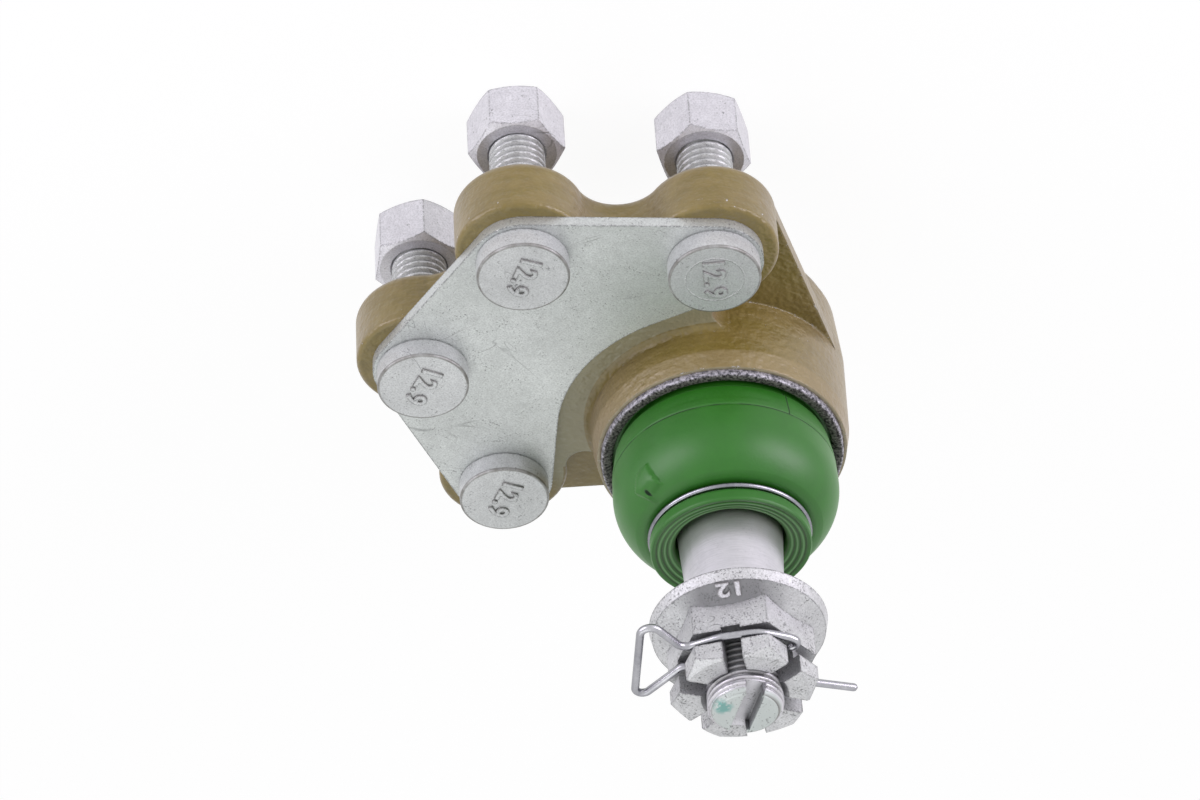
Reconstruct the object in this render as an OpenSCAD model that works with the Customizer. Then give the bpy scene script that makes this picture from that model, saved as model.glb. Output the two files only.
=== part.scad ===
// Suspension ball joint with a four bolt flange housing, a spherical pin held by a
// castle nut and a wire clip, and a rubber dust boot.
// Lengths in millimetres. The housing axis is Z, the threaded end of the pin points to +Z,
// the bolts lie towards +X, and Z = 0 is the face that seats on the suspension arm.

/* [Bolt pattern] */
// Distance of the two far bolts from the housing axis, along X
far_bolt_x = 64; // [50:0.1:80]
// Half the spacing of the two far bolts, along Y
far_bolt_y = 19.2; // [14:0.1:26]
// Distance of the two near bolts from the housing axis, along X
near_bolt_x = 29.7; // [20:0.1:40]
// Half the spacing of the two near bolts, along Y
near_bolt_y = 39.7; // [32:0.1:48]

/* [Housing flange] */
// Radius of each bolt boss
boss_r = 14; // [12:0.1:17]
// Height of the bosses from the arm seat to the plate
seat_height = 13.6; // [10:0.1:18]
// Height of the thin web in the pocket between a near boss and the cup
web_height = 6; // [4:0.1:10]
// Rounding of the flange edge on the arm side
back_round = 2.5; // [1:0.1:4]
// Rounding of the boss edge on the plate side
front_round = 1; // [0.4:0.1:2]
// Radius of the hollow between a near and a far boss
side_hollow_r = 9.2; // [6:0.1:12]
// Radius of the hollow between the two far bosses
end_hollow_r = 8.5; // [6:0.1:10]
// Radius of the inner end of each pocket beside the cup
pocket_r = 4; // [3.5:0.1:5]
// Diameter of the bolt holes through the flange
flange_hole_d = 12.2; // [12:0.05:13]

/* [Housing cup] */
// Outer radius of the cup at the flange
cup_base_r = 28.1; // [26:0.1:31]
// Outer radius of the cup at its mouth
cup_mouth_r = 26.9; // [25:0.1:29]
// Height of the cup mouth above the arm seat
cup_mouth_z = 24.6; // [20:0.1:30]
// Radius of the cup where its turned band starts
cup_band_r = 27.7; // [26.9:0.1:28]
// Height at which the turned band starts
cup_band_z = 20.3; // [18:0.1:23]
// Outer radius of the cup behind the flange
cup_back_r = 26.6; // [25:0.1:29]
// Depth of the cup behind the arm seat
cup_back_depth = 16.5; // [13:0.1:20]
// Rounding of the rear edge of the cup
cup_back_round = 6; // [2:0.1:7]
// Radius of the fillet between the plate seat and the cup
cup_fillet_r = 2; // [2:0.1:5]
// Radius of the bore that takes the two ball seats
cup_bore_r = 20; // [18:0.1:22]
// Radius of the hole through which the pin comes out, at its narrowest
throat_r = 14.6; // [14:0.1:16]
// Height of the shoulder that stops the front ball seat
shoulder_z = 15.4; // [14:0.1:18]
// Radius of the mouth of the cone that lets the pin swing
mouth_cone_r = 19.2; // [17:0.1:20]
// Radius of the recess for the retaining ring
ring_recess_r = 26.1; // [25:0.1:26.4]
// Height of the floor of the recess for the retaining ring
ring_recess_z = 21.6; // [20:0.1:23]
// Radius of the recess for the closing cover
cover_recess_r = 22.2; // [21:0.1:24]
// Thickness of the closing cover
cover_thick = 2.3; // [1.5:0.1:3]
// Inner radius of the rolled edge that holds the cover
rolled_edge_r = 20.4; // [19.5:0.1:21.5]
// Height of the rolled edge that holds the cover
rolled_edge_h = 1; // [0.6:0.1:1.6]

/* [Reinforcing plate] */
// Thickness of the plate
plate_thick = 2.6; // [2:0.1:4]
// Distance from the bolt axes to the edge of the plate
plate_edge_r = 10.6; // [10:0.1:13]
// Radius of the hollow edge round the cup
plate_hollow_r = 35.1; // [33:0.1:38]
// Diameter of the bolt holes in the plate
plate_hole_d = 12.2; // [12:0.05:13]

/* [Bolts and nuts] */
// Nominal diameter of the bolts
bolt_d = 12; // [10:1:14]
// Diameter of the threaded length, taken at the middle of the thread flank
bolt_thread_mid_d = 10.86; // [9:0.01:13]
// Length of the bolt under its head
bolt_length = 45; // [35:0.5:60]
// Length of the threaded end of the bolt
bolt_thread_length = 30; // [20:0.5:40]
// Diameter of the flat round head
head_d = 19.5; // [18:0.1:22]
// Height of the head
head_h = 4.9; // [4:0.1:7]
// Bevel round the head
head_bevel = 0.35; // [0.1:0.05:1]
// Width across the flats of the nuts
nut_flats = 18; // [17:0.1:19]
// Height of the nuts
nut_h = 12; // [8:0.1:12]
// Diameter of the flat ring on the face of the nuts
nut_face_d = 17; // [16:0.1:18]
// Distance from the arm seat to the first far nut as delivered
nut_gap_1 = 16.1; // [0:0.1:17.5]
// Distance from the arm seat to the first near nut as delivered
nut_gap_2 = 14.8; // [0:0.1:17.5]
// Distance from the arm seat to the second far nut as delivered
nut_gap_3 = 14.6; // [0:0.1:17.5]
// Distance from the arm seat to the second near nut as delivered
nut_gap_4 = 15.6; // [0:0.1:17.5]
// Radial play of the nuts on the bolts
nut_play = 0.05; // [0.01:0.01:0.1]
// Turn of the first far nut about its bolt
nut_turn_1 = 36.7; // [0:0.1:60]
// Turn of the first near nut about its bolt
nut_turn_2 = 21.5; // [0:0.1:60]
// Turn of the second far nut about its bolt
nut_turn_3 = 56.8; // [0:0.1:60]
// Turn of the second near nut about its bolt
nut_turn_4 = 10; // [0:0.1:60]

/* [Ball stud] */
// Height of the ball centre above the arm seat
ball_z = 6; // [2:0.1:10]
// Radius of the ball
ball_r = 16; // [14:0.1:18]
// Radius of the waist between the ball and the cone
waist_r = 9; // [8:0.1:11]
// Distance from the ball centre to the large end of the cone
cone_start = 39; // [34:0.1:44]
// Distance from the ball centre to the small end of the cone
cone_end = 65.2; // [58:0.1:70]
// Radius of the cone at its large end
cone_big_r = 11.4; // [10:0.05:13]
// Length over which the cone narrows by one unit of diameter
cone_ratio = 8; // [6:1:12]
// Nominal diameter of the pin thread
stud_thread_d = 16; // [14:1:20]
// Diameter of the pin thread, taken at the middle of the thread flank
stud_thread_mid_d = 15.03; // [13:0.01:19]
// Distance from the ball centre to the end of the pin
stud_end = 89; // [80:0.1:100]
// Bevel at the end of the pin
stud_end_bevel = 1.2; // [0.5:0.1:2.5]
// Width of the slot in the end of the pin
end_slot_w = 4.2; // [2:0.1:5]
// Depth of the slot in the end of the pin
end_slot_depth = 3; // [1:0.1:4]
// Direction of the slot in the end of the pin
end_slot_turn = 110; // [-180:1:180]
// Diameter of the cross hole for the clip
cross_hole_d = 4; // [3:0.1:5]
// Lean of the pin as delivered, about X
lean_x = -1.43; // [-15:0.01:15]
// Lean of the pin as delivered, about Y
lean_y = -1.38; // [-15:0.01:15]

/* [Castle nut] */
// Gap between the end of the cone and the castle nut
castle_gap = 0.2; // [0.1:0.1:2]
// Radius of the flange
castle_flange_r = 18.75; // [16:0.1:20]
// Height of the sloping rim of the flange
castle_rim_h = 2.6; // [0.8:0.1:4]
// Radius of the flange at the top of its rim
castle_rim_r = 18.2; // [15:0.1:19]
// Height from the flange face to where the hexagon leaves the flange
castle_slope_h = 5.3; // [3:0.1:8]
// Width across the flats
castle_flats = 27; // [22:0.1:30]
// Height from the flange face to the groove
castle_groove_start = 11.5; // [8:0.1:14]
// Width of the groove for the clip
castle_groove_w = 3.1; // [2:0.1:4]
// Radius of the floor of the groove
castle_groove_r = 12; // [11:0.1:13]
// Height over all
castle_h = 19.2; // [14:0.1:22]
// Radius of the flat end of the crown
castle_crown_r = 13.1; // [12:0.1:14]
// Height of the sloping edge of the crown
castle_crown_bevel = 1.4; // [0.5:0.1:2]
// Diameter of the bevel at the end of the bore
castle_mouth_d = 18.4; // [16.5:0.1:22]
// Width of the six slots
castle_slot_w = 4; // [3:0.1:5]
// Height of the floor of the six slots over the flange face
castle_slot_floor = 10.8; // [8:0.1:14]
// Turn of the castle nut about the pin
castle_turn = 46.3; // [0:0.1:60]
// Radial play of the thread
castle_play = 0.03; // [0.01:0.01:0.1]

/* [Locking clip] */
// Diameter of the wire
clip_d = 1.7; // [1.2:0.1:2.5]
// Direction of the leg
clip_turn = 19.6; // [0:0.1:60]
// Length of the leg on the free side
clip_free_leg = 24.9; // [18:0.1:30]
// Radius of the arm that lies in the groove
clip_arm_r = 9; // [5:0.1:15]

/* [Dust boot] */
// Outer radius of the boot at its widest
bulge_r = 24.2; // [22:0.1:26]
// Height of the widest place above the arm seat
bulge_z = 36; // [32:0.1:40]
// Radius of the rounding from the widest place to the neck
shoulder_r = 13; // [10:0.1:16]
// Radius of the gentle curve from the widest place to the housing
side_r = 50; // [30:1:100]
// Wall thickness of the boot
boot_wall = 2.3; // [1.5:0.1:3]
// Outer radius of the thin foot between the bead and the bulge
boot_foot_r = 22.5; // [21.5:0.1:22.8]
// Outer radius of the bead under the retaining ring
bead_r = 24.2; // [23:0.1:24.4]
// Height of the bead
bead_h = 2.5; // [2:0.1:3]
// Outer radius of the neck lip
lip_r = 17.2; // [16:0.1:19]
// Height of the end face of the lip above the arm seat
lip_z = 51.1; // [46:0.1:56]
// Thickness of the lip
lip_h = 2.9; // [2:0.1:4]
// Radius of the floor of the groove for the wire ring
neck_groove_r = 16.3; // [15:0.1:17]
// Width of the groove for the wire ring
neck_groove_w = 1.9; // [1.4:0.1:3]
// Radius of the hole for the pin
neck_hole_r = 11.9; // [11:0.1:13]
// Depth of the hollow in the end face of the lip
lip_dish = 1.4; // [0.5:0.1:2.5]

/* [Boot rings] */
// Inner radius of the wall of the retaining ring
ring_wall_r = 24.6; // [24:0.1:25.4]
// Inner radius of the lip of the retaining ring
ring_lip_r = 23.8; // [23.5:0.1:24.6]
// Height of the retaining ring
ring_h = 4.5; // [3:0.1:6]
// Thickness of the lip of the retaining ring
ring_lip_h = 1.3; // [0.8:0.1:2]
// Diameter of the wire of the neck ring
wire_ring_d = 1.2; // [0.8:0.1:2]

/* [Ball seats and spring] */
// Running play between the ball and its seats
ball_play = 0.05; // [0.01:0.01:0.1]
// Radial play of the seats in the bore
seat_fit = 0.05; // [0:0.01:0.1]
// Height where the two seats meet
seat_split_z = 2; // [-2:0.1:6]
// Gap between the two seats
seat_split_gap = 0.6; // [0.2:0.1:1.5]
// Depth of the rear face of the rear seat behind the arm seat
rear_seat_depth = 11.6; // [10:0.1:13]
// Radius of the grease well in the rear seat
grease_well_r = 5; // [3:0.1:8]
// Thickness of the disc spring
spring_thick = 0.9; // [0.5:0.1:1.5]
// Outer radius of the disc spring
spring_outer_r = 19.4; // [16:0.1:19.8]
// Inner radius of the disc spring
spring_inner_r = 9.5; // [6:0.1:12]

/* [Hidden] */
$fn = 96;
far_1 = [far_bolt_x, -far_bolt_y];
far_2 = [far_bolt_x, far_bolt_y];
near_1 = [near_bolt_x, -near_bolt_y];
near_2 = [near_bolt_x, near_bolt_y];
plate_top_z = seat_height + plate_thick;
bolt_end_z = plate_top_z - bolt_length;
cover_z = -cup_back_depth + rolled_edge_h;
spring_z = cover_z + cover_thick;
spring_h = -rear_seat_depth - spring_z;
castle_start = cone_end + castle_gap;
clip_at = castle_start + castle_groove_start + castle_groove_w / 2;
cone_small_r = cone_big_r - (cone_end - cone_start) / cone_ratio / 2;
boot_pivot_z = ring_recess_z + bead_h + 0.3;
boot_lean = (lip_z - ball_z) / (lip_z - boot_pivot_z);
lip_base_z = lip_z - lip_h;
neck_groove_z = lip_base_z - neck_groove_w;
wire_ring_z = lip_base_z - neck_groove_w / 2;
wire_ring_r = neck_groove_r + wire_ring_d / 2 + 0.05;
eps = 0.05;
web_step = 0.2;

// Point at distance ra from a and rb from b, on the right hand side of the line from a to b
function meet(a, b, ra, rb) =
  let (d = norm(b - a), e = (b - a) / d, s = (d * d + ra * ra - rb * rb) / (2 * d))
  a + s * e + sqrt(ra * ra - s * s) * [e[1], -e[0]];
// Unit vector square to the line from a to b, on its right hand side
function right_of(a, b) = [(b - a)[1], -(b - a)[0]] / norm(b - a);
// Unit vector along which a circle ra at a and a circle rb at b have their outer tangent
function tangent_dir(a, b, ra, rb) =
  let (d = norm(b - a), t = atan2((b - a)[1], (b - a)[0]) - acos((ra - rb) / d)) [cos(t), sin(t)];
// The same for the crossing tangent
function cross_dir(a, b, ra, rb) =
  let (d = norm(b - a), t = atan2((b - a)[1], (b - a)[0]) + acos((ra + rb) / d)) [cos(t), sin(t)];

// The points given, then the same points on the other side of the X axis in reverse
function mirrored(p) = concat(p, [for (i = [len(p) - 1 : -1 : 0]) [p[i][0], -p[i][1]]]);

side_hollow = meet(near_1, far_1, boss_r + side_hollow_r, boss_r + side_hollow_r);
end_hollow = meet(far_1, far_2, boss_r + end_hollow_r, boss_r + end_hollow_r);
pocket_end = meet([0, 0], near_1, cup_base_r + pocket_r, boss_r + pocket_r);
web_dir = tangent_dir([0, 0], near_1, cup_base_r, boss_r);
plate_dir = cross_dir([0, 0], near_1, plate_hollow_r, plate_edge_r);
clip_dir = [cos(clip_turn), sin(clip_turn)];

module both_sides() {
  children();
  mirror([0, 1, 0]) children();
}

module at_bolt(p) {
  translate([p[0], p[1], 0]) children();
}

module at_pin() {
  translate([0, 0, ball_z]) rotate([lean_x, lean_y, 0]) children();
}

module at_boot() {
  translate([0, 0, boot_pivot_z]) rotate([lean_x * boot_lean, lean_y * boot_lean, 0])
    translate([0, 0, -boot_pivot_z]) children();
}

// Quarter round cut out of a corner, the corner at the origin, the solid towards -X and +Y
module corner_cut(r) {
  difference() {
    translate([-r, -1]) square([r + 1, r + 1]);
    translate([-r, r]) circle(r);
    translate([-r - 1, 0]) square([1, r]);
  }
}

module boss_shape() {
  rotate_extrude() difference() {
    square([boss_r, seat_height]);
    translate([boss_r, 0]) corner_cut(back_round);
    translate([boss_r, seat_height]) mirror([0, 1]) corner_cut(front_round);
  }
}

// Points where the wall of the web starts at the cup and ends at the near boss, a small step
// inside both rounds
web_from = web_dir * (cup_base_r - web_step);
web_to = near_1 + web_dir * (boss_r - web_step);

// Flange outline inside the bosses
module flange_outline() {
  polygon(mirrored([pocket_end * (cup_base_r / (cup_base_r + pocket_r)),
    near_1 + (pocket_end - near_1) * boss_r / (boss_r + pocket_r), near_1,
    near_1 + (side_hollow - near_1) * boss_r / (boss_r + side_hollow_r),
    far_1 + (side_hollow - far_1) * boss_r / (boss_r + side_hollow_r), far_1,
    far_1 + (end_hollow - far_1) * boss_r / (boss_r + end_hollow_r)]));
}

module web_outline() {
  polygon(mirrored([web_from, web_to, near_1,
    near_1 + (side_hollow - near_1) * boss_r / (boss_r + side_hollow_r)]));
}

module hollow_cutter(r) {
  translate([0, 0, -1]) cylinder(r = r + eps, h = seat_height + 2);
  rotate_extrude() translate([r + eps, 0]) mirror([1, 0]) corner_cut(back_round);
}

module web_edge_cutter() {
  run = web_to - web_from;
  translate([web_from[0], web_from[1], 0]) rotate([0, 0, atan2(run[1], run[0])])
    translate([-3, 0, 0]) rotate([90, 0, 90]) linear_extrude(norm(run) + 6)
      mirror([1, 0]) corner_cut(back_round);
}

module cup_outside() {
  rotate_extrude() difference() {
    polygon([[0, -cup_back_depth], [cup_back_r, -cup_back_depth], [cup_base_r, web_height / 3],
      [cup_band_r, cup_band_z], [cup_mouth_r, cup_mouth_z], [0, cup_mouth_z]]);
    translate([cup_back_r, -cup_back_depth]) corner_cut(cup_back_round);
  }
}

// Hollow fillet between the plate seat and the cup, only where the flange is high
module cup_fillet() {
  intersection() {
    rotate_extrude() translate([cup_band_r - 1, seat_height - eps]) difference() {
      square([cup_fillet_r + 1, cup_fillet_r]);
      translate([cup_fillet_r + 1, cup_fillet_r + eps]) circle(cup_fillet_r);
    }
    linear_extrude(cup_mouth_z) flange_outline();
  }
}

module cup_inside() {
  rotate_extrude() polygon([[0, -cup_back_depth - 1], [rolled_edge_r, -cup_back_depth - 1],
    [rolled_edge_r, cover_z], [cover_recess_r, cover_z], [cover_recess_r, spring_z],
    [cup_bore_r, spring_z], [cup_bore_r, shoulder_z], [throat_r, shoulder_z],
    [mouth_cone_r, ring_recess_z], [ring_recess_r, ring_recess_z],
    [ring_recess_r, cup_mouth_z + 1], [0, cup_mouth_z + 1]]);
}

module housing() {
  color([0.55, 0.47, 0.31]) difference() {
    union() {
      difference() {
        union() {
          linear_extrude(seat_height) flange_outline();
          linear_extrude(web_height) web_outline();
          cup_fillet();
        }
        at_bolt(end_hollow) hollow_cutter(end_hollow_r);
        both_sides() at_bolt(side_hollow) hollow_cutter(side_hollow_r);
        both_sides() at_bolt(pocket_end) translate([0, 0, web_height])
          cylinder(r = pocket_r + eps, h = seat_height);
        both_sides() web_edge_cutter();
      }
      for (p = [far_1, far_2, near_1, near_2]) at_bolt(p) boss_shape();
      cup_outside();
    }
    for (p = [far_1, far_2, near_1, near_2]) at_bolt(p) translate([0, 0, -1])
      cylinder(d = flange_hole_d, h = seat_height + 2);
    cup_inside();
  }
}

module reinforcing_plate() {
  edge_dir = right_of(near_1, far_1);
  color([0.78, 0.80, 0.79]) translate([0, 0, seat_height]) linear_extrude(plate_thick) difference() {
    union() {
      for (p = [far_1, far_2, near_1, near_2]) translate(p) circle(plate_edge_r);
      polygon(mirrored([plate_hollow_r * plate_dir, near_1 - plate_edge_r * plate_dir, near_1,
        near_1 + plate_edge_r * edge_dir, far_1 + plate_edge_r * edge_dir, far_1,
        far_1 + [plate_edge_r, 0]]));
    }
    circle(plate_hollow_r);
    for (p = [far_1, far_2, near_1, near_2]) translate(p) circle(d = plate_hole_d);
  }
}

module bolt_shape() {
  color([0.80, 0.80, 0.81]) {
    translate([0, 0, plate_top_z]) cylinder(d = head_d, h = head_h - head_bevel);
    translate([0, 0, plate_top_z + head_h - head_bevel])
      cylinder(d1 = head_d, d2 = head_d - 2 * head_bevel, h = head_bevel);
    translate([0, 0, bolt_end_z + bolt_thread_length])
      cylinder(d = bolt_d, h = bolt_length - bolt_thread_length + eps);
    translate([0, 0, bolt_end_z + 1]) cylinder(d = bolt_thread_mid_d, h = bolt_thread_length);
    translate([0, 0, bolt_end_z]) cylinder(d1 = bolt_thread_mid_d - 2, d2 = bolt_thread_mid_d, h = 1);
  }
}

module nut_shape(turn, gap) {
  corner = nut_flats / sqrt(3);
  outside = corner + 1;
  slope = (outside - nut_face_d / 2) * tan(30);
  color([0.80, 0.80, 0.82]) translate([0, 0, -gap - nut_h]) difference() {
    intersection() {
      rotate([0, 0, turn]) cylinder(r = corner, h = nut_h, $fn = 6);
      rotate_extrude() polygon([[0, 0], [nut_face_d / 2, 0], [outside, slope],
        [outside, nut_h - slope], [nut_face_d / 2, nut_h], [0, nut_h]]);
    }
    translate([0, 0, -1]) cylinder(d = bolt_thread_mid_d + 2 * nut_play, h = nut_h + 2);
    for (m = [0, 1]) translate([0, 0, m * nut_h]) mirror([0, 0, m]) translate([0, 0, -eps])
      cylinder(d1 = bolt_d + 0.6, d2 = bolt_thread_mid_d, h = 0.9);
  }
}

module bolt_far_1() { at_bolt(far_1) bolt_shape(); }
module bolt_near_1() { at_bolt(near_1) bolt_shape(); }
module bolt_far_2() { at_bolt(far_2) bolt_shape(); }
module bolt_near_2() { at_bolt(near_2) bolt_shape(); }
module nut_far_1() { at_bolt(far_1) nut_shape(nut_turn_1, nut_gap_1); }
module nut_near_1() { at_bolt(near_1) nut_shape(nut_turn_2, nut_gap_2); }
module nut_far_2() { at_bolt(far_2) nut_shape(nut_turn_3, nut_gap_3); }
module nut_near_2() { at_bolt(near_2) nut_shape(nut_turn_4, nut_gap_4); }

module ball_stud() {
  color([0.76, 0.75, 0.78]) at_pin() difference() {
    union() {
      sphere(ball_r);
      cylinder(r = waist_r, h = cone_start - 3);
      translate([0, 0, cone_start - 4]) cylinder(r1 = waist_r, r2 = cone_big_r, h = 4);
      translate([0, 0, cone_start - eps])
        cylinder(r1 = cone_big_r, r2 = cone_small_r, h = cone_end - cone_start + eps);
      translate([0, 0, cone_end - eps])
        cylinder(d = stud_thread_mid_d, h = stud_end - stud_end_bevel - cone_end + eps);
      translate([0, 0, stud_end - stud_end_bevel]) cylinder(d1 = stud_thread_mid_d,
        d2 = stud_thread_mid_d - 2 * stud_end_bevel, h = stud_end_bevel);
    }
    rotate([0, 0, end_slot_turn]) translate([-stud_thread_d, -end_slot_w / 2, stud_end - end_slot_depth])
      cube([2 * stud_thread_d, end_slot_w, end_slot_depth + 1]);
    translate([0, 0, clip_at]) rotate([0, 90, clip_turn])
      cylinder(d = cross_hole_d, h = 2 * stud_thread_d, center = true);
  }
}

module castle_nut() {
  corner = castle_flats / sqrt(3);
  color([0.77, 0.78, 0.78]) at_pin() translate([0, 0, castle_start]) rotate([0, 0, castle_turn])
    difference() {
      union() {
        cylinder(r1 = castle_flange_r, r2 = castle_rim_r, h = castle_rim_h);
        translate([0, 0, castle_rim_h - eps])
          cylinder(r1 = castle_rim_r, r2 = castle_flats / 2, h = castle_slope_h - castle_rim_h);
        cylinder(r = corner, h = castle_groove_start, $fn = 6);
        cylinder(r = castle_groove_r, h = castle_groove_start + castle_groove_w);
        intersection() {
          translate([0, 0, castle_groove_start + castle_groove_w - eps])
            cylinder(r = corner, h = castle_h - castle_groove_start - castle_groove_w + eps, $fn = 6);
          rotate_extrude() polygon([[0, 0], [corner + 1, 0], [corner + 1, castle_h - castle_crown_bevel
            - castle_crown_bevel / (corner - castle_crown_r)], [castle_crown_r, castle_h], [0, castle_h]]);
        }
      }
      translate([0, 0, -1]) cylinder(d = stud_thread_mid_d + 2 * castle_play, h = castle_h + 2);
      translate([0, 0, -eps]) cylinder(d1 = stud_thread_d + 0.8, d2 = stud_thread_mid_d, h = 1.2);
      translate([0, 0, castle_h - 1]) cylinder(d1 = stud_thread_mid_d, d2 = castle_mouth_d, h = 1 + eps);
      for (k = [0 : 2]) rotate([0, 0, 30 + 60 * k]) translate([-castle_flats, -castle_slot_w / 2, castle_slot_floor])
        cube([2 * castle_flats, castle_slot_w, castle_h - castle_slot_floor + 1]);
    }
}

// Corners of the clip as [x, y, bend radius], from the end of the leg to the end of the arm
clip_path = [[-clip_free_leg * clip_dir[0], -clip_free_leg * clip_dir[1], 0],
  [13.05 * clip_dir[0], 13.05 * clip_dir[1], 2], [14.2, 19.2, 1.6], [28.6, -4.4, 2.1],
  [15.6, -0.5, 2.6], [11, -7.5, clip_arm_r], [5.1, -13, clip_arm_r], [-1.5, -14.7, 5],
  [-5, -14.4, 1.3], [-2.9, -11.6, 0]];
function corner(i) = [clip_path[i][0], clip_path[i][1]];
function unit(v) = v / norm(v);
// Half of the inside angle at a corner, and the length that its bend takes of each side
function half_angle(i) = acos(unit(corner(i - 1) - corner(i)) * unit(corner(i + 1) - corner(i))) / 2;
function bend_length(i) = clip_path[i][2] / tan(half_angle(i));
function turned(p, t) = [p[0] * cos(t) - p[1] * sin(t), p[0] * sin(t) + p[1] * cos(t)];
// Points of the wire line round a corner, on an arc of the bend radius
function bend_points(i) = clip_path[i][2] == 0 ? [corner(i)] :
  let (a = unit(corner(i - 1) - corner(i)), b = unit(corner(i + 1) - corner(i)),
    middle = corner(i) + unit(a + b) * clip_path[i][2] / sin(half_angle(i)),
    start = corner(i) + a * bend_length(i) - middle,
    sweep = (180 - 2 * half_angle(i)) * sign(a[1] * b[0] - a[0] * b[1]), n = ceil(abs(sweep) / 36))
  [for (k = [0 : n]) middle + turned(start, k * sweep / n)];
clip_line = [for (i = [0 : len(clip_path) - 1]) each bend_points(i)];

// The wire is a row of short eight sided lengths that run a little into each other
module locking_clip() {
  run_in = clip_d / 9;
  color([0.82, 0.82, 0.84]) at_pin() translate([0, 0, clip_at])
    for (k = [0 : len(clip_line) - 2]) {
      from = clip_line[k];
      to = clip_line[k + 1];
      u = unit(to - from);
      translate([from[0] - run_in * u[0], from[1] - run_in * u[1], 0])
        rotate([0, 90, atan2(u[1], u[0])]) rotate([0, 0, 22.5])
        cylinder(d = clip_d, h = norm(to - from) + 2 * run_in, $fn = 8);
    }
}

// Half section of the bulge, smaller all over by the thickness given
module bulge_section(thick) {
  intersection() {
    translate([bulge_r - shoulder_r, bulge_z]) circle(shoulder_r - thick);
    translate([0, bulge_z - eps]) square(bulge_r);
  }
  intersection() {
    translate([bulge_r - side_r, bulge_z]) circle(side_r - thick);
    translate([0, bulge_z - bulge_r]) square(bulge_r);
  }
}

module dust_boot() {
  foot_z = boot_pivot_z + 0.6;
  color([0.27, 0.48, 0.24]) {
    rotate_extrude() {
      translate([mouth_cone_r + 1.2, ring_recess_z]) square([bead_r - mouth_cone_r - 1.2, bead_h]);
      translate([boot_foot_r - boot_wall / 2, ring_recess_z]) square([boot_wall / 2, bead_h + 2.2]);
    }
    at_boot() rotate_extrude() {
      difference() {
        intersection() {
          bulge_section(0);
          translate([neck_hole_r, foot_z]) square([bulge_r, neck_groove_z - foot_z]);
        }
        difference() {
          bulge_section(boot_wall);
          translate([0, neck_groove_z - 3.4]) square([bulge_r, 10]);
        }
      }
      translate([neck_hole_r, neck_groove_z - 2]) square([neck_groove_r - neck_hole_r, neck_groove_w + 2.1]);
      difference() {
        translate([neck_hole_r, lip_base_z]) square([lip_r - neck_hole_r, lip_h]);
        polygon([[neck_hole_r - 1, lip_z - lip_dish], [neck_hole_r, lip_z - lip_dish],
          [lip_r - 0.8, lip_z + eps], [neck_hole_r - 1, lip_z + eps]]);
      }
    }
  }
}

module boot_retaining_ring() {
  color([0.62, 0.63, 0.64]) rotate_extrude() translate([0, ring_recess_z]) {
    translate([ring_wall_r, 0]) square([ring_recess_r - ring_wall_r, ring_h]);
    translate([ring_lip_r, ring_h - ring_lip_h]) square([ring_recess_r - ring_lip_r, ring_lip_h]);
  }
}

module neck_wire_ring() {
  color([0.90, 0.90, 0.91]) at_boot() translate([0, 0, wire_ring_z])
    rotate_extrude() translate([wire_ring_r, 0]) circle(d = wire_ring_d);
}

module seat_ring(z1, z2) {
  difference() {
    translate([0, 0, z1]) cylinder(r = cup_bore_r - seat_fit, h = z2 - z1);
    translate([0, 0, ball_z]) sphere(ball_r + ball_play);
  }
}

module front_ball_seat() {
  color([0.93, 0.92, 0.86]) difference() {
    seat_ring(seat_split_z + seat_split_gap / 2, shoulder_z);
    cylinder(r = throat_r, h = shoulder_z + 1);
  }
}

module rear_ball_seat() {
  color([0.93, 0.92, 0.86]) difference() {
    seat_ring(-rear_seat_depth, seat_split_z - seat_split_gap / 2);
    translate([0, 0, -rear_seat_depth - 1]) cylinder(r = grease_well_r, h = rear_seat_depth);
  }
}

module disc_spring() {
  color([0.45, 0.45, 0.47]) rotate_extrude() polygon([[spring_inner_r, spring_z],
    [spring_outer_r, spring_z + spring_h - spring_thick], [spring_outer_r, spring_z + spring_h],
    [spring_inner_r, spring_z + spring_thick]]);
}

module closing_cover() {
  color([0.66, 0.67, 0.66]) translate([0, 0, cover_z]) cylinder(r = cover_recess_r, h = cover_thick);
}

housing();
reinforcing_plate();
bolt_far_1();
bolt_near_1();
bolt_far_2();
bolt_near_2();
nut_far_1();
nut_near_1();
nut_far_2();
nut_near_2();
ball_stud();
castle_nut();
locking_clip();
dust_boot();
boot_retaining_ring();
neck_wire_ring();
front_ball_seat();
rear_ball_seat();
disc_spring();
closing_cover();
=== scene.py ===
"""Looks of the suspension ball joint: finishes of the forged and plated parts, bolts and pin with
cut threads, bent wire clip, rolled retaining ring and rubber boot, on a pale floor."""

import bpy
import numpy as np
from mathutils import Matrix, Vector


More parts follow.
